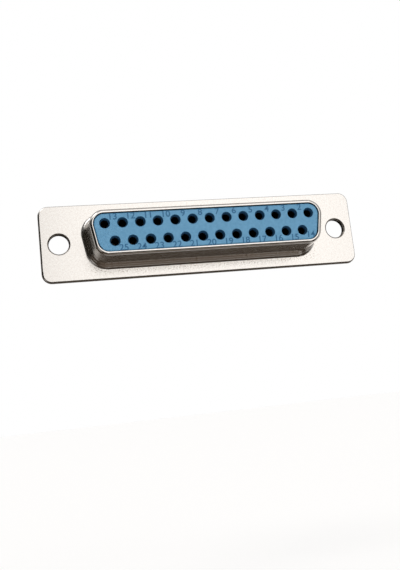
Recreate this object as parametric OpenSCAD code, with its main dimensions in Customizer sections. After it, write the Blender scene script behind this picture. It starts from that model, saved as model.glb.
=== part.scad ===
/* [Contacts] */
// Sockets in the long row; the short row has one fewer
long_row = 13; // [5, 8, 13, 19]
// Distance between neighbouring contacts in a row
pitch = 2.76; // [2.74:0.01:2.78]
// Distance between the two rows
row_gap = 2.84; // [2.8:0.01:2.9]
// Diameter of the mating pin that each socket takes
pin_d = 1.02; // [0.98:0.01:1.06]
// Outside diameter of the socket barrel
barrel_d = 1.5; // [1.4:0.05:1.55]
// Outside diameter of the solder cup
cup_d = 1.6; // [1.5:0.05:1.65]
// Bore of the solder cup
cup_bore = 1.2; // [1:0.05:1.25]
// Distance from the rear sheet to the tips of the cups
cup_reach = 9.1; // [8.5:0.1:10]
// Length of the part of the cup that is cut open
cup_cut = 2.1; // [1.5:0.1:2.4]
// How far the cut goes past the cup's axis
cup_cut_depth = 0.3; // [0:0.05:0.4]

/* [Sheet metal] */
// Thickness of both drawn sheets
sheet_t = 0.4; // [0.3:0.05:0.45]
// Height of the flange across its short side
flange_h = 12.55; // [12.4:0.05:12.7]
// Radius of the flange corners
flange_corner = 1.6; // [0.5:0.1:2.5]
// Diameter of the two mounting holes
hole_d = 3.2; // [3:0.05:3.4]
// Slope of the drawn walls, in degrees
draft = 3.5; // [0:0.5:4]

/* [Front collar] */
// Height of the D collar across its short side, at its root
collar_h = 7.9; // [7.8:0.05:8]
// How far the collar stands in front of the flange
collar_reach = 6.1; // [5.8:0.1:6.4]
// Slope of the short sides of the D, in degrees
side_angle = 10; // [8:0.5:12]
// Radius of the D corners on the outside of the collar
collar_corner = 2.6; // [2.2:0.1:2.8]
// Radius of the bend between flange and collar
root_radius = 0.8; // [0.6:0.1:1.2]
// Radius of the shoulder round the front of the collar
rim_radius = 0.45; // [0.45:0.05:0.55]

/* [Rear housing] */
// How far the housing's long sides stand outside the collar's
housing_out = 1.35; // [1.3:0.05:1.45]
// How far its short sides stand outside the collar's
housing_side = 0.9; // [0.8:0.05:1]
// Radius of the D corners on the outside of the housing
housing_corner = 1.8; // [1.6:0.1:2]
// How far the housing stands behind the flange
housing_reach = 4; // [3.9:0.1:4.4]
// Radius of the bend between flange and housing
housing_root = 0.5; // [0.4:0.1:0.7]
// Radius of the rounded shoulder round the back of the housing
housing_shoulder = 1.2; // [1:0.1:1.3]

/* [Insulators] */
// Gap between the front insulator and the collar's lip
front_gap = 0.09; // [0.05:0.01:0.12]
// Gap between the rear insulator's boss and the housing's lip
rear_gap = 0.33; // [0.2:0.01:0.4]
// How far the rear insulator's boss stands beyond the housing
boss_rise = 1.8; // [1:0.1:2]
// Diameter of the round hole in front of each socket
entry_d = 1.24; // [1.2:0.02:1.3]
// Diameter of the lead-in at the mouth of each hole
lead_in_d = 1.7; // [1.5:0.05:1.8]
// Depth of the lead-in
lead_in_depth = 0.5; // [0.3:0.05:0.7]

/* [Hidden] */
$fn = 48;
slack = 0.02;                 // air between pieces that are only set together
over = 1;                     // how far a cutter runs past what it cuts

// Widths that grow with the number of contacts
collar_w = (long_row - 1) * pitch + 5.26;
flange_w = collar_w + 14.66;
hole_gap = collar_w + 8.66;

// Levels along the mating axis; zero is the flange's front face and the front is positive
rear_face = -2 * sheet_t;
housing_top = rear_face - housing_reach;
split = -2.2;                 // where the two insulators meet
nose = collar_reach - 0.1;    // front face of the front insulator
boss_face = housing_top - boss_rise;
cup_tip = rear_face - cup_reach;

// Where the collar's slanted short side crosses the middle of the D
side_x = collar_w / 2 - collar_corner * (1 - 1 / cos(side_angle))
    - (collar_h / 2 - collar_corner) * tan(side_angle);

// Offsets from the collar's outline
front_lip = -0.86;
nose_offset = front_lip - front_gap;

// Offsets from the housing's outline
rear_lip = -housing_out - 0.15;
boss_offset = rear_lip - rear_gap;
plinth_offset = -sheet_t - 0.12;   // the insulators' broad part, inside the housing
lip_corner = 1.2;                  // no corner of the housing's lip or boss is sharper
bead_out = 0.7;               // width of the rolled rim behind each mounting hole
eye_land = 1;                 // width of the eyelet that stands in for the flange round the hole

// Shoulder of the contact, held between the insulators
collet_d = 2;
collet_front = -1.8;
collet_back = -2.6;
barrel_tip = nose - 1.1;       // the sockets are set back from the face

CONTACTS = [for (n = [1:2 * long_row - 1]) n];
function contact_name(n) = str("contact_", n < 10 ? "0" : "", n);

// ---- outlines ----

// Points along an arc, ends included
function arc(centre, radius, from, to, steps) =
    [for (i = [0:steps]) let (a = from + (to - from) * i / steps)
        centre + radius * [cos(a), sin(a)]];

// A D with its long side up, counter-clockwise from its right-hand side
function d_outline(half_height, side, corner) = let (
    y = half_height - corner,
    x = side + y * tan(side_angle) - corner / cos(side_angle),
    low_x = x - 2 * y * tan(side_angle))
    concat(
        arc([x, y], corner, -side_angle, 90, 12),
        arc([-x, y], corner, 90, 180 + side_angle, 12),
        arc([-low_x, -y], corner, 180 + side_angle, 270, 10),
        arc([low_x, -y], corner, 270, 360 - side_angle, 10));

// The collar's D and the housing's, offset outwards
function collar_d(off) =
    d_outline(collar_h / 2 + off, side_x + off / cos(side_angle), collar_corner + off);
function housing_d(off) =
    d_outline(collar_h / 2 + housing_out + off, side_x + (housing_side + off) / cos(side_angle),
              max(housing_corner + off, lip_corner));

function rounded_rectangle(w, h, r) = concat(
    arc([w / 2 - r, h / 2 - r], r, 0, 90, 8),
    arc([r - w / 2, h / 2 - r], r, 90, 180, 8),
    arc([r - w / 2, r - h / 2], r, 180, 270, 8),
    arc([w / 2 - r, r - h / 2], r, 270, 360, 8));

// Section of a drawn D wall, as offset and height: bend, sloping wall, shoulder and inward lip.
// The inner face keeps the sheet's thickness all the way.
function drawn_section(root, shoulder, reach, lip) = let (
    bend = [root, root],
    top = reach - shoulder,
    turn = (root * (cos(draft) + sin(draft) - 1) - shoulder - sin(draft) * top) / cos(draft),
    crown = [turn, top])
    concat(
        arc(bend, root, 270, 180 + draft, 7),
        arc(crown, shoulder, draft, 90, 7),
        [[lip, reach], [lip, reach - sheet_t]],
        arc(crown, shoulder - sheet_t, 90, draft, 5),
        arc(bend, root + sheet_t, 180 + draft, 270, 7));

// ---- solids that follow the D ----

// Rings, as [outline, height] pairs, joined into a closed wall that goes once round the D
module d_ring(rings) {
    per_ring = len(rings[0][0]);
    count = len(rings);
    polyhedron(
        points = [for (ring = rings) for (q = ring[0]) [q[0], q[1], ring[1]]],
        faces = [for (j = [0:count - 1]) for (i = [0:per_ring - 1]) let (
            k = (j + 1) % count, m = (i + 1) % per_ring)
            [j * per_ring + i, k * per_ring + i, k * per_ring + m, j * per_ring + m]],
        convexity = 6);
}

// A solid D whose outline changes with height; rings are [outline, height] pairs from low to high
module d_loft(rings) {
    per_ring = len(rings[0][0]);
    last = len(rings) - 1;
    polyhedron(
        points = [for (ring = rings) for (q = ring[0]) [q[0], q[1], ring[1]]],
        faces = concat(
            [[for (i = [0:per_ring - 1]) i]],
            [for (j = [0:last - 1]) for (i = [0:per_ring - 1]) let (m = (i + 1) % per_ring)
                [j * per_ring + i, (j + 1) * per_ring + i, (j + 1) * per_ring + m, j * per_ring + m]],
            [[for (i = [per_ring - 1:-1:0]) last * per_ring + i]]));
}

module at_mounting_holes() {
    for (side = [-1, 1]) translate([side * hole_gap / 2, 0, 0]) children();
}

// Flat sheet with the D opening where the bend starts; its top is at height zero
module flange_sheet(w, h, opening, hole_r) {
    difference() {
        translate([0, 0, -sheet_t]) linear_extrude(sheet_t) difference() {
            polygon(rounded_rectangle(w, h, flange_corner));
            polygon(opening);
        }
        at_mounting_holes() translate([0, 0, -over]) cylinder(r = hole_r, h = 2 * over);
    }
}

// Rim of a mounting hole, drawn back through the rear sheet and rolled over it
module eyelet() {
    bore = hole_d / 2;
    mouth = 0.25;
    tube = bore + sheet_t;
    bead = bore + bead_out;
    back = rear_face - slack - sheet_t;
    curl = 0.18;
    rotate_extrude() polygon(concat(
        [[tube + eye_land, -sheet_t], [tube + eye_land, 0]],
        arc([bore + mouth, -mouth], mouth, 90, 180, 5),
        arc([bore + 0.3, back + 0.3], 0.3, 180, 270, 5),
        arc([bead - curl, back + curl], curl, 270, 360, 4),
        [[bead, rear_face - slack], [tube, rear_face - slack], [tube, -sheet_t]]));
}

// ---- contacts ----

function contact_x(n) = n <= long_row ? ((long_row + 1) / 2 - n) * pitch
                                      : (1.5 * long_row - n) * pitch;
function row_side(n) = n <= long_row ? 1 : -1;

module at_contact(n) {
    translate([contact_x(n), row_side(n) * row_gap / 2, 0]) mirror([0, row_side(n) < 0 ? 1 : 0, 0])
        children();
}

// Turned blank: solder cup, shoulder and bored socket barrel
module contact_blank() {
    socket_r = pin_d / 2 + 0.01;
    rotate_extrude() polygon([
        [0, cup_tip + 3.4], [cup_bore / 2, cup_tip + 3.1], [cup_bore / 2, cup_tip],
        [cup_d / 2 - 0.05, cup_tip], [cup_d / 2, cup_tip + 0.05], [cup_d / 2, collet_back],
        [collet_d / 2, collet_back], [collet_d / 2, collet_front],
        [barrel_d / 2, collet_front], [barrel_d / 2, barrel_tip - 1],
        [barrel_d / 2 - 0.06, barrel_tip], [socket_r + 0.06, barrel_tip], [socket_r, barrel_tip - 0.1],
        [socket_r, 0.4], [0, 0.1]]);
}

// Cut that opens the outer half of the cup, with a curved run-out
module cup_scoop() {
    run_out = cup_d / 2 + 0.1 + cup_cut_depth;
    end = cup_tip + cup_cut;
    rotate([90, 0, 90]) linear_extrude(3, center = true) polygon(concat(
        [[-cup_cut_depth, cup_tip - over]],
        arc([run_out - cup_cut_depth, end - run_out], run_out, 180, 90, 6),
        [[2, end], [2, cup_tip - over]]));
}

module contact(n) {
    slit = 0.25;
    slit_length = 3.4;
    color("silver") stand() at_contact(n) difference() {
        contact_blank();
        cup_scoop();
        translate([-over, -slit / 2, barrel_tip - slit_length]) cube([2 * over, slit, slit_length + over]);
    }
}

// Cavity for a contact in the front insulator: lead-in, entry, barrel and shoulder
module front_cavity() {
    barrel_r = barrel_d / 2 + 0.07;
    shelf = barrel_tip + 0.1;
    rotate_extrude() polygon([
        [0, split - over], [collet_d / 2 + 0.05, split - over],
        [collet_d / 2 + 0.05, collet_front + slack], [barrel_r, collet_front + slack],
        [barrel_r, shelf], [entry_d / 2, shelf], [entry_d / 2, nose - lead_in_depth],
        [lead_in_d / 2, nose], [lead_in_d / 2, nose + over], [0, nose + over]]);
}

// Cavity for a contact in the rear insulator: shoulder, cup and a wide mouth
module rear_cavity() {
    cup_r = cup_d / 2 + 0.05;
    mouth_r = 1.05;
    rotate_extrude() polygon([
        [0, boss_face - over], [mouth_r, boss_face - over], [mouth_r, boss_face],
        [cup_r, boss_face + 0.3], [cup_r, collet_back - slack],
        [collet_d / 2 + 0.05, collet_back - slack], [collet_d / 2 + 0.05, split + over],
        [0, split + over]]);
}

// ---- the four large pieces ----

// The mating axis lies along the flange's normal; the finished part stands with its long row up
module stand() {
    rotate([90, 0, 0]) children();
}

module front_shell() {
    color([0.86, 0.85, 0.82]) stand() {
        flange_sheet(flange_w, flange_h, collar_d(root_radius), hole_d / 2 + sheet_t + eye_land);
        at_mounting_holes() eyelet();
        d_ring([for (p = drawn_section(root_radius, rim_radius, collar_reach, front_lip))
            [collar_d(p[0]), p[1]]]);
    }
}

module rear_shell() {
    wall = drawn_section(housing_root, housing_shoulder, housing_reach, rear_lip);
    inset = 0.06;
    color([0.82, 0.81, 0.78]) stand() {
        translate([0, 0, -sheet_t])
            flange_sheet(flange_w - 2 * inset, flange_h - 2 * inset, housing_d(housing_root),
                         hole_d / 2 + sheet_t + 0.05);
        mirror([0, 0, 1]) d_ring([for (p = wall) [housing_d(p[0]), p[1] - rear_face]]);
    }
}

module front_insulator() {
    chamfer = 0.15;
    ledge = -sheet_t - slack;
    color([0.41, 0.65, 0.8]) stand() difference() {
        d_loft([[housing_d(plinth_offset), split], [housing_d(plinth_offset), ledge],
                [collar_d(nose_offset), ledge], [collar_d(nose_offset), nose - chamfer],
                [collar_d(nose_offset - chamfer), nose]]);
        for (n = CONTACTS) at_contact(n) front_cavity();
    }
}

module rear_insulator() {
    edge = 0.25;
    under_lip = housing_top + sheet_t + slack;
    plinth = plinth_offset - 0.1;
    color([0.24, 0.47, 0.65]) stand() difference() {
        d_loft([for (p = concat(
            arc([boss_offset - edge, boss_face + edge], edge, 270, 360, 3),
            [[boss_offset, under_lip], [rear_lip, under_lip], [plinth, under_lip + 0.9], [plinth, split]]))
            [housing_d(p[0]), p[1]]]);
        for (n = CONTACTS) at_contact(n) rear_cavity();
    }
}

front_shell();
rear_shell();
front_insulator();
rear_insulator();
for (n = CONTACTS) contact(n);
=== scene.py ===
import math

import bmesh
import bpy
from mathutils import Matrix, Vector


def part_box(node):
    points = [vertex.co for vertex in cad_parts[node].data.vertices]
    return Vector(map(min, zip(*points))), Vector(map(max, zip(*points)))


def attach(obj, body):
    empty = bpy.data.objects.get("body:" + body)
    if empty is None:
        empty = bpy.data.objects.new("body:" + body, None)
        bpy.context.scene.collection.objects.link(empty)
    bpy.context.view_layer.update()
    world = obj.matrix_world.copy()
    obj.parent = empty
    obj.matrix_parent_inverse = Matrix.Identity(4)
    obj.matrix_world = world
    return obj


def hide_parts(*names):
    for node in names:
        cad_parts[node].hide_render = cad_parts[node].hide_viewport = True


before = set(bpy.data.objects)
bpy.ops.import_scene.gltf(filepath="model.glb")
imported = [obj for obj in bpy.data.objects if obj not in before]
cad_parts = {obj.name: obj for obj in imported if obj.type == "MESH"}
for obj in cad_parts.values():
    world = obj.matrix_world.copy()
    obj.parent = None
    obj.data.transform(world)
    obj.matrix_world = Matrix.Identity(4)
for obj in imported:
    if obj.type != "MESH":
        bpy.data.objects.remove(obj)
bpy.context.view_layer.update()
mm = 0.001
scene = bpy.context.scene
contactNames = sorted(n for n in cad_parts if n.startswith("contact_"))
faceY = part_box("front_insulator")[0].y          # the face that carries the numbers
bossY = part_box("rear_insulator")[1].y           # the face that the cups stand out of
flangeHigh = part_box("front_shell")[1]


# pieces and meshes

def linkPiece(name, mesh, replaces=()):
    piece = bpy.data.objects.new(name, mesh)
    scene.collection.objects.link(piece)
    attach(piece, "root")
    if replaces:
        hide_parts(*replaces)
    return piece


def mergedCopy(node):
    # a clean copy of a node, with doubles merged and flat faces joined
    bm = bmesh.new()
    bm.from_mesh(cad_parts[node].data)
    bmesh.ops.remove_doubles(bm, verts=bm.verts, dist=0.0005 * mm)
    bmesh.ops.dissolve_limit(bm, angle_limit=math.radians(0.6), verts=bm.verts, edges=bm.edges)
    bmesh.ops.recalc_face_normals(bm, faces=bm.faces)
    return bm


def smoothMesh(bm, name, material, sharpAngle):
    mesh = bpy.data.meshes.new(name)
    bm.to_mesh(mesh)
    bm.free()
    mesh.shade_smooth()
    mesh.set_sharp_from_angle(angle=math.radians(sharpAngle))
    mesh.materials.append(material)
    return mesh


def evenShading(piece):
    weighted = piece.modifiers.new("evenShading", "WEIGHTED_NORMAL")
    weighted.keep_sharp = True
    weighted.weight = 100


def softenEdges(piece, width, angle):
    bevel = piece.modifiers.new("softEdges", "BEVEL")
    bevel.width = width
    bevel.segments = 2
    bevel.limit_method = "ANGLE"
    bevel.angle_limit = math.radians(angle)
    evenShading(piece)


# shader building blocks

noiseSpan = (0.3, 0.7)      # nearly all of a noise's values lie in here


def nodeMaterial(name):
    material = bpy.data.materials.new(name)
    material.use_nodes = True
    tree = material.node_tree
    coords = tree.nodes.new("ShaderNodeTexCoord")
    return material, tree, tree.nodes["Principled BSDF"], coords


def addMath(tree, operation, a, b=None, c=None):
    node = tree.nodes.new("ShaderNodeMath")
    node.operation = operation
    for socket, value in zip(node.inputs, (a, b, c)):
        if isinstance(value, (int, float)):
            socket.default_value = value
        elif value is not None:
            tree.links.new(value, socket)
    return node.outputs[0]


def addProduct(tree, first, *others):
    for other in others:
        first = addMath(tree, "MULTIPLY", first, other)
    return first


def addSplit(tree, coords, output="Object"):
    split = tree.nodes.new("ShaderNodeSeparateXYZ")
    tree.links.new(coords.outputs[output], split.inputs["Vector"])
    return split.outputs


def addRange(tree, value, low, high, outLow=0.0, outHigh=1.0, kind="LINEAR"):
    remap = tree.nodes.new("ShaderNodeMapRange")
    remap.interpolation_type = kind
    remap.inputs["From Min"].default_value = low
    remap.inputs["From Max"].default_value = high
    remap.inputs["To Min"].default_value = outLow
    remap.inputs["To Max"].default_value = outHigh
    tree.links.new(value, remap.inputs["Value"])
    return remap.outputs["Result"]


def addStep(tree, value, low, high):
    return addRange(tree, value, low, high, kind="SMOOTHSTEP")


def addMix(tree, amount, colorA, colorB):
    mix = tree.nodes.new("ShaderNodeMix")
    mix.data_type = "RGBA"
    tree.links.new(amount, mix.inputs["Factor"])
    for socket, value in ((mix.inputs[6], colorA), (mix.inputs[7], colorB)):
        if isinstance(value, tuple):
            socket.default_value = (*value, 1)
        else:
            tree.links.new(value, socket)
    return mix.outputs[2]


def addNoise(tree, coords, scale, detail, stretch=(1, 1, 1)):
    mapping = tree.nodes.new("ShaderNodeMapping")
    mapping.inputs["Scale"].default_value = stretch
    tree.links.new(coords.outputs["Object"], mapping.inputs["Vector"])
    noise = tree.nodes.new("ShaderNodeTexNoise")
    noise.inputs["Scale"].default_value = scale
    noise.inputs["Detail"].default_value = detail
    noise.inputs["Roughness"].default_value = 0.55
    tree.links.new(mapping.outputs["Vector"], noise.inputs["Vector"])
    return noise.outputs["Fac"]


def addClouds(tree, value, look):
    # two shades of one colour, mixed by a noise
    return addMix(tree, addRange(tree, value, *look["clouds"]), look["shade"], look["tint"])


def addSurface(tree, shader, color, rough, height):
    tree.links.new(color, shader.inputs["Base Color"])
    tree.links.new(rough, shader.inputs["Roughness"])
    bump = tree.nodes.new("ShaderNodeBump")
    bump.inputs["Distance"].default_value = 1.0     # heights below are in metres
    tree.links.new(height, bump.inputs["Height"])
    tree.links.new(bump.outputs["Normal"], shader.inputs["Normal"])


# tin plating: satin where the sheet is flat, burnished on the drawn walls; the cut edges are darkened,
# partly as a darker cut edge and partly as painted shade

plating = {
    "tint": (0.93, 0.905, 0.875),
    "shade": (0.875, 0.835, 0.80),
    "clouds": (0.36, 0.58),
    "mottleScale": 3000,
    "grainScale": 5200,
    "grainDepth": 0.0012 * mm,
    "wallGrain": 0.25,
    "streakScale": 4000,
    "flatRough": (0.17, 0.25),
    "wallRough": (0.10, 0.17),
    "sheetMiddle": 0.4 * mm,            # where the two flanges meet
    "wallFrom": (0.5 * mm, 1.2 * mm),   # how far from that plane a wall's finish begins
}
# darker bends at the foot of the walls: partly dirt, partly painted shade
bendDirtAndShade = {
    "color": (0.38, 0.33, 0.28),
    "amount": 0.15,
    "start": (0.44 * mm, 0.62 * mm),
    "end": (1.3 * mm, 0.7 * mm),
    "reach": (21.6 * mm, 21.2 * mm),
}
# cut outline and eyelet mouths: a darker cut edge, partly painted shade
cutEdgeDarkAndShade = {
    "color": (0.24, 0.21, 0.18),
    "amount": 0.85,
    "band": (0.28 * mm, 0.12 * mm),
    "belowFace": (0.4 * mm, 0.3 * mm),
    "holeX": 23.52 * mm,
    "holeRim": (1.85 * mm, 1.77 * mm),
}
specks = {"color": (0.42, 0.36, 0.30), "amount": 0.45, "scale": 2600, "range": (0.70, 0.76)}
stains = {
    "color": (0.30, 0.20, 0.12),
    "amount": 0.6,
    "scale": 4400,
    "range": (0.53, 0.64),
    "side": (0.0, -2 * mm),
    "height": (5.7 * mm, 4.7 * mm),
    "reach": (20.5 * mm, 17.5 * mm),
    "depth": (0.6 * mm, 0.45 * mm),
}


def cutEdgeMask(tree, axes, acrossX, acrossZ, depth):
    # the cut outline of both sheets and the mouths of the two eyelets, darkened partly as a darker cut edge
    # and partly as painted shade; the top edge, where the light falls, is left out
    outer, inner = cutEdgeDarkAndShade["band"]
    sides = addStep(tree, acrossX, flangeHigh.x - outer, flangeHigh.x - inner)
    bottom = addStep(tree, axes["Z"], outer - flangeHigh.z, inner - flangeHigh.z)
    outline = addMath(tree, "MAXIMUM", sides, bottom)
    outline = addProduct(tree, outline, addStep(tree, depth, *cutEdgeDarkAndShade["belowFace"]))
    aside = addMath(tree, "SUBTRACT", acrossX, cutEdgeDarkAndShade["holeX"])
    fromHole = addMath(tree, "SQRT", addMath(tree, "MULTIPLY_ADD", aside, aside,
                                             addMath(tree, "MULTIPLY", acrossZ, acrossZ)))
    return addMath(tree, "MAXIMUM", outline, addStep(tree, fromHole, *cutEdgeDarkAndShade["holeRim"]))


def bendMask(tree, acrossX, depth):
    # the bends at the foot of the two D walls, clear of the eyelets, darkened partly by dirt and partly by
    # painted shade in the crease
    return addProduct(tree, addStep(tree, depth, *bendDirtAndShade["start"]), addStep(tree, depth, *bendDirtAndShade["end"]),
                      addStep(tree, acrossX, *bendDirtAndShade["reach"]))


def stainMask(tree, coords, axes, acrossX, acrossZ, depth):
    # brown specks where the flange runs out under the D walls
    noise = addStep(tree, addNoise(tree, coords, stains["scale"], 3), *stains["range"])
    return addProduct(tree, noise, addStep(tree, acrossZ, *stains["height"]),
                      addStep(tree, axes["Z"], *stains["side"]), addStep(tree, acrossX, *stains["reach"]),
                      addStep(tree, depth, *stains["depth"]))


def platedMaterial(name, look):
    material, tree, shader, coords = nodeMaterial(name)
    axes = addSplit(tree, coords)
    acrossX = addMath(tree, "ABSOLUTE", axes["X"])
    acrossZ = addMath(tree, "ABSOLUTE", axes["Z"])
    depth = addMath(tree, "ABSOLUTE", addMath(tree, "SUBTRACT", axes["Y"], look["sheetMiddle"]))
    wall = addStep(tree, depth, *look["wallFrom"])

    color = addClouds(tree, addNoise(tree, coords, look["mottleScale"], 5), look)
    dots = addStep(tree, addNoise(tree, coords, specks["scale"], 2), *specks["range"])
    for mask, mark in ((dots, specks),
                       (stainMask(tree, coords, axes, acrossX, acrossZ, depth), stains),
                       (bendMask(tree, acrossX, depth), bendDirtAndShade),
                       (cutEdgeMask(tree, axes, acrossX, acrossZ, depth), cutEdgeDarkAndShade)):
        color = addMix(tree, addProduct(tree, mask, mark["amount"]), color, mark["color"])
    shader.inputs["Metallic"].default_value = 1.0

    grain = addNoise(tree, coords, look["grainScale"], 3)
    flatRough = addRange(tree, grain, *noiseSpan, *look["flatRough"])
    streaks = addNoise(tree, coords, look["streakScale"], 2, (1, 0.06, 1))
    wallRough = addRange(tree, streaks, *noiseSpan, *look["wallRough"])
    rough = addMath(tree, "ADD", addProduct(tree, wallRough, wall),
                    addProduct(tree, flatRough, addMath(tree, "SUBTRACT", 1.0, wall)))
    smooth = addRange(tree, wall, 0.0, 1.0, 1.0, look["wallGrain"])
    addSurface(tree, shader, color, rough, addProduct(tree, grain, smooth, look["grainDepth"]))
    return material


# moulded plastic; painted shade darkens the holes behind the face, a little at their mouths and more
# further in

cavityShade = {
    "mouth": (0.02 * mm, 0.08 * mm),
    "fade": 0.3 * mm,
    "rows": (2.7 * mm, 2.5 * mm),
    "reach": (17.8 * mm, 17.6 * mm),
}
frontBlue = {
    "tint": (0.158, 0.405, 0.635),
    "shade": (0.12, 0.345, 0.57),
    "clouds": (0.32, 0.66),
    "rough": (0.40, 0.50),
    "grainDepth": 0.004 * mm,
    "face": faceY,
    "inward": 1,
    "mouth": (0.013, 0.06, 0.13),
    "mouthDepth": 0.5 * mm,
    "deepShade": (0.005, 0.018, 0.04),
}
rearBlue = {
    "tint": (0.055, 0.225, 0.41),
    "shade": (0.042, 0.19, 0.36),
    "clouds": (0.32, 0.66),
    "rough": (0.35, 0.48),
    "grainDepth": 0.006 * mm,
    "face": bossY,
    "inward": -1,
    "mouth": (0.03, 0.13, 0.25),
    "mouthDepth": 0.25 * mm,
    "deepShade": (0.004, 0.015, 0.03),
}
numberBlue = {
    "tint": (0.03, 0.16, 0.33),
    "shade": (0.024, 0.14, 0.295),
    "clouds": (0.32, 0.66),
    "rough": (0.45, 0.60),
    "grainDepth": 0.002 * mm,
}


def plasticMaterial(name, look):
    material, tree, shader, coords = nodeMaterial(name)
    color = addClouds(tree, addNoise(tree, coords, 2400, 4), look)
    if "face" in look:
        axes = addSplit(tree, coords)
        below = addProduct(tree, addMath(tree, "SUBTRACT", axes["Y"], look["face"]), look["inward"])
        nearHoles = addProduct(tree, addStep(tree, addMath(tree, "ABSOLUTE", axes["Z"]), *cavityShade["rows"]),
                               addStep(tree, addMath(tree, "ABSOLUTE", axes["X"]), *cavityShade["reach"]))
        # painted shade in the mouths of the contact holes, then deeper painted shade further in
        mouth = addProduct(tree, addStep(tree, below, *cavityShade["mouth"]), nearHoles)
        color = addMix(tree, mouth, color, look["mouth"])
        deepShade = addStep(tree, below, look["mouthDepth"], look["mouthDepth"] + cavityShade["fade"])
        color = addMix(tree, addProduct(tree, deepShade, nearHoles), color, look["deepShade"])
    grain = addNoise(tree, coords, 7000, 2)
    rough = addRange(tree, grain, *noiseSpan, *look["rough"])
    addSurface(tree, shader, color, rough, addProduct(tree, grain, look["grainDepth"]))
    return material


# tinned contacts; painted shade darkens the sockets and the insides of the cups, and the cup insides are
# rougher

contactTin = {
    "tint": (0.84, 0.82, 0.78),
    "shade": (0.68, 0.65, 0.60),
    "clouds": (0.35, 0.65),
    "rough": (0.12, 0.22),
    "grainDepth": 0.002 * mm,
    "socket": (0.10, 0.085, 0.06),
    "socketStart": (1 * mm, -3 * mm),
    "cupInsideShade": (0.06, 0.045, 0.035),
    "cupRough": 0.25,
    "cupBore": 0.64 * mm,
}


def contactMaterial(name, look):
    material, tree, shader, coords = nodeMaterial(name)
    color = addClouds(tree, addNoise(tree, coords, 1800, 4), look)
    axes = addSplit(tree, coords)
    # painted shade over the socket end, which sits deep in the insulator
    color = addMix(tree, addStep(tree, axes["Y"], *look["socketStart"]), color, look["socket"])
    inside = tree.nodes.new("ShaderNodeAttribute")
    inside.attribute_name = "inside"
    # painted shade inside the solder cups
    color = addMix(tree, inside.outputs["Fac"], color, look["cupInsideShade"])
    shader.inputs["Metallic"].default_value = 1.0
    grain = addNoise(tree, coords, 5000, 3, (1, 0.2, 1))
    rough = addRange(tree, grain, *noiseSpan, *look["rough"])
    rough = addMath(tree, "MULTIPLY_ADD", inside.outputs["Fac"], look["cupRough"], rough)
    addSurface(tree, shader, color, rough, addProduct(tree, grain, look["grainDepth"]))
    return material


platedMetal = platedMaterial("platedMetal", plating)
frontPlastic = plasticMaterial("frontPlastic", frontBlue)
rearPlastic = plasticMaterial("rearPlastic", rearBlue)
numberPlastic = plasticMaterial("numberPlastic", numberBlue)
contactMetal = contactMaterial("contactMetal", contactTin)
print("materials made")


# shells: the punched outline is rolled over on the outer face, most at the left and below, and
# every other edge is crisp

sheetEdges = {
    "rollMost": 0.3 * mm,
    "rollLeast": 0.12 * mm,
    "cut": 0.04 * mm,
    "sharp": 40,
    "outlineX": 26.3 * mm,
    "outlineZ": 4.6 * mm,
}


def edgeRadius(edge, outerY):
    ends = [v.co for v in edge.verts]
    onFace = all(abs(p.y - outerY) < 0.01 * mm for p in ends)
    onOutline = all(abs(p.x) > sheetEdges["outlineX"] or abs(p.z) > sheetEdges["outlineZ"] for p in ends)
    if not (onFace and onOutline):
        return sheetEdges["cut"]
    outward = min((f.normal for f in edge.link_faces), key=lambda normal: abs(normal.y))
    lowerLeft = min(1, max(0, (1 - outward.x - outward.z) / 2))
    return sheetEdges["rollLeast"] + lowerLeft * (sheetEdges["rollMost"] - sheetEdges["rollLeast"])


def weighSheetEdges(bm, outerY):
    weight = bm.edges.layers.float.new("bevel_weight_edge")
    for edge in bm.edges:
        if len(edge.link_faces) == 2 and edge.calc_face_angle() > math.radians(sheetEdges["sharp"]):
            edge[weight] = edgeRadius(edge, outerY) / sheetEdges["rollMost"]


for node, outerY in (("front_shell", 0.0), ("rear_shell", 2 * plating["sheetMiddle"])):
    bm = mergedCopy(node)
    weighSheetEdges(bm, outerY)
    mesh = smoothMesh(bm, node + "_sheet", platedMetal, 60)
    sheet = linkPiece(node + "_sheet", mesh, [node])
    rolled = sheet.modifiers.new("rolledEdges", "BEVEL")
    rolled.width = sheetEdges["rollMost"]
    rolled.segments = 3
    rolled.limit_method = "WEIGHT"
    rolled.use_clamp_overlap = False
    evenShading(sheet)
print("shells made")


# insulators: every moulded edge is very slightly round

mouldedEdge = {"width": 0.04 * mm, "sharp": 30, "angle": 40}

for node, material, slot in (("front_insulator", frontPlastic, "front_plastic"),
                             ("rear_insulator", rearPlastic, "rear_plastic")):
    mesh = smoothMesh(mergedCopy(node), node + "_moulding", material, mouldedEdge["sharp"])
    moulding = linkPiece(node + "_moulding", mesh, [node])
    softenEdges(moulding, mouldedEdge["width"], mouldedEdge["angle"])
print("insulators made")


# contacts: the faces inside each solder cup carry a value of their own, which the material uses for painted
# shade and more roughness

def markCupInside(bm, node):
    low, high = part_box(node)
    axis = (low + high) / 2
    inside = bm.faces.layers.float.new("inside")
    for face in bm.faces:
        corners = [v.co - axis for v in face.verts]
        inBore = all(math.hypot(p.x, p.z) < contactTin["cupBore"] for p in corners)
        face[inside] = 1.0 if inBore and corners[0].y > 0 else 0.0


for node in contactNames:
    bm = mergedCopy(node)
    markCupInside(bm, node)
    mesh = smoothMesh(bm, node + "_turned", contactMetal, 30)
    linkPiece(node + "_turned", mesh, [node])
print("contacts made")


# contact numbers, moulded just proud of the front face to the right of each hole

numbers = {
    "height": 1.42 * mm,
    "widen": 1.06,
    "bolder": 0.012,
    "proud": 0.02 * mm,
    "rooted": 0.003 * mm,
    "right": 1.28 * mm,
    "above": 0.95 * mm,
    "below": -1.17 * mm,
    "cornerName": "contact_14",
    "cornerLift": 0.35 * mm,
}


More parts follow.
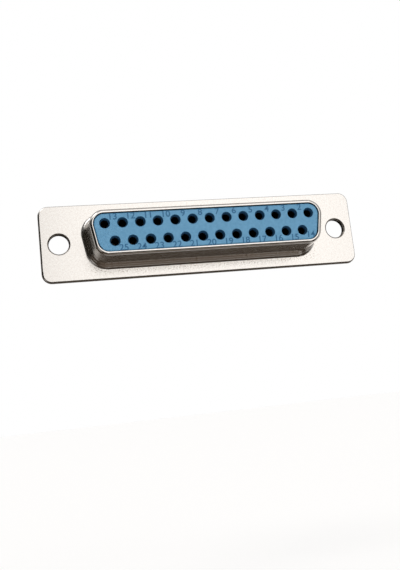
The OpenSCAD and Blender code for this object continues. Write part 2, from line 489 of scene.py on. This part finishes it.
def numberMesh(text):
    curve = bpy.data.curves.new("number", "FONT")
    curve.body = text
    curve.align_x = "CENTER"
    curve.align_y = "CENTER"
    curve.size = 1.0
    curve.offset = numbers["bolder"]
    curve.extrude = 0.5
    holder = bpy.data.objects.new("number", curve)
    scene.collection.objects.link(holder)
    bpy.context.view_layer.update()
    mesh = bpy.data.meshes.new_from_object(holder)
    bpy.data.objects.remove(holder)
    bpy.data.curves.remove(curve)
    return mesh


bm = bmesh.new()
for node in contactNames[1:]:           # the first hole has no room for its number
    low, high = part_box(node)
    axis = (low + high) / 2
    lift = numbers["above"] if axis.z > 0 else numbers["below"]
    if node == numbers["cornerName"]:
        lift += numbers["cornerLift"]
    middleY = faceY - numbers["proud"] / 2 + numbers["rooted"]
    spot = Vector((axis.x + numbers["right"], middleY, axis.z + lift))
    size = Matrix.Diagonal((numbers["height"] * numbers["widen"], numbers["height"], numbers["proud"], 1))
    mesh = numberMesh(str(int(node[-2:])))
    mesh.transform(Matrix.Translation(spot) @ Matrix.Rotation(math.radians(90), 4, "X") @ size)
    bm.from_mesh(mesh)
    bpy.data.meshes.remove(mesh)
bmesh.ops.remove_doubles(bm, verts=bm.verts, dist=0.001 * mm)
mesh = bpy.data.meshes.new("contact_numbers")
bm.to_mesh(mesh)
bm.free()
mesh.materials.append(numberPlastic)
linkPiece("contact_numbers", mesh)
print("numbers made")


# floor

stand = {"level": -60 * mm, "size": 4.0, "color": (0.9, 0.9, 0.9), "rough": 0.9, "glow": 0.6}

floorMaterial, _, shader, _ = nodeMaterial("floor")
shader.inputs["Base Color"].default_value = (*stand["color"], 1)
shader.inputs["Roughness"].default_value = stand["rough"]
shader.inputs["Emission Color"].default_value = (1, 1, 1, 1)
shader.inputs["Emission Strength"].default_value = stand["glow"]
bm = bmesh.new()
bmesh.ops.create_grid(bm, x_segments=1, y_segments=1, size=stand["size"] / 2)
mesh = bpy.data.meshes.new("floor")
bm.to_mesh(mesh)
bm.free()
mesh.materials.append(floorMaterial)
floor = bpy.data.objects.new("floor", mesh)
floor.location.z = stand["level"]
floor.visible_glossy = False
scene.collection.objects.link(floor)


# light: soft cards on the sky round the part, each between two bearings (0 in front, more to the
# right) and two heights, in degrees; a later card lies over an earlier one, and 400 means all round

room = (0.5, 0.49, 0.475)
cards = [
    {"name": "softBox", "turn": (-3, 34), "rise": (-6, 48), "soft": 8, "level": 1.17,
     "tint": (1, 0.98, 0.955)},
    {"name": "rightFill", "turn": (34, 100), "rise": (-6, 70), "soft": 8, "level": 0.36,
     "tint": (1, 0.98, 0.96)},
    {"name": "backCeiling", "turn": (-400, 400), "rise": (50, 400), "soft": 8, "level": 0.2,
     "tint": (1, 0.97, 0.95)},
    {"name": "ceiling", "turn": (-95, 95), "rise": (50, 400), "soft": 8, "level": 0.5,
     "tint": (1, 0.97, 0.95)},
    {"name": "key", "turn": (-52, -18), "rise": (38, 58), "soft": 5, "level": 2.6,
     "tint": (1, 0.985, 0.97)},
    {"name": "leftFlag", "turn": (-95, -8), "rise": (4, 34), "soft": 4, "level": 0.012,
     "tint": (1, 0.82, 0.6)},
    {"name": "leftLowFlag", "turn": (-95, -24), "rise": (-12, 6), "soft": 4, "level": 0.012,
     "tint": (1, 0.82, 0.6)},
    {"name": "lowFlag", "turn": (-6, 95), "rise": (-54, -9), "soft": 4, "level": 0.04,
     "tint": (1, 0.74, 0.52)},
    {"name": "leftUnderFlag", "turn": (-150, -6), "rise": (-62, -11), "soft": 6, "level": 0.05,
     "tint": (1, 0.78, 0.58)},
    {"name": "lowLeftFill", "turn": (-58, -34), "rise": (-36, -14), "soft": 8, "level": 0.45,
     "tint": (1, 0.97, 0.94)},
    {"name": "lowRightFill", "turn": (68, 106), "rise": (-34, -12), "soft": 8, "level": 0.35,
     "tint": (1, 0.97, 0.94)},
    {"name": "underside", "turn": (-400, 400), "rise": (-400, -60), "soft": 12, "level": 0.12,
     "tint": (1, 0.8, 0.65)},
    {"name": "backFlagLeft", "turn": (-400, -142), "rise": (-40, 32), "soft": 8, "level": 0.016,
     "tint": (1, 0.9, 0.8)},
    {"name": "backFlagRight", "turn": (146, 400), "rise": (-40, 32), "soft": 8, "level": 0.03,
     "tint": (1, 0.9, 0.8)},
    {"name": "rightFlag", "turn": (92, 150), "rise": (6, 32), "soft": 8, "level": 0.1,
     "tint": (1, 0.95, 0.9)},
    {"name": "rightLowFill", "turn": (100, 152), "rise": (-38, 0), "soft": 8, "level": 0.85,
     "tint": (1, 0.98, 0.96)},
]

world = bpy.data.worlds.new("studio")
scene.world = world
world.use_nodes = True
tree = world.node_tree
tree.nodes.clear()
output = tree.nodes.new("ShaderNodeOutputWorld")
white = tree.nodes.new("ShaderNodeBackground")
white.inputs["Color"].default_value = (1, 1, 1, 1)
white.inputs["Strength"].default_value = 1.0
sky = tree.nodes.new("ShaderNodeBackground")
path = tree.nodes.new("ShaderNodeLightPath")
pick = tree.nodes.new("ShaderNodeMixShader")
tree.links.new(path.outputs["Is Camera Ray"], pick.inputs["Fac"])
tree.links.new(sky.outputs["Background"], pick.inputs[1])
tree.links.new(white.outputs["Background"], pick.inputs[2])
tree.links.new(pick.outputs["Shader"], output.inputs["Surface"])

axes = addSplit(tree, tree.nodes.new("ShaderNodeTexCoord"), "Generated")
bearing = addMath(tree, "ARCTAN2", axes["X"], addMath(tree, "MULTIPLY", axes["Y"], -1))
turn = addProduct(tree, bearing, math.degrees(1))
rise = addProduct(tree, addMath(tree, "ARCSINE", axes["Z"]), math.degrees(1))
color = room
for card in cards:
    half = card["soft"] / 2
    mask = 1
    for value, (low, high) in ((turn, card["turn"]), (rise, card["rise"])):
        mask = addMath(tree, "MULTIPLY", addStep(tree, value, low - half, low + half), mask)
        mask = addMath(tree, "MULTIPLY", addStep(tree, value, high + half, high - half), mask)
    color = addMix(tree, mask, color, tuple(card["level"] * part for part in card["tint"]))
tree.links.new(color, sky.inputs["Color"])
print("light made")


# camera

view = {
    "place": Vector((-26.06, -109.47, -27.13)) * mm,
    "aim": Vector((-1.43, 0, -8.20)) * mm,
    "roll": -6.38,
    "lens": 43.95,
    "sensor": 36,
    "clip": (1 * mm, 20),
}

lens = bpy.data.cameras.new("camera")
lens.lens = view["lens"]
lens.sensor_width = view["sensor"]
lens.clip_start, lens.clip_end = view["clip"]
camera = bpy.data.objects.new("camera", lens)
camera.rotation_mode = "QUATERNION"
towards = (view["aim"] - view["place"]).to_track_quat("-Z", "Y")
camera.rotation_quaternion = towards @ Matrix.Rotation(math.radians(view["roll"]), 3, "Z").to_quaternion()
camera.location = view["place"]
scene.collection.objects.link(camera)
scene.camera = camera
scene.view_settings.view_transform = "Standard"
print("camera made")
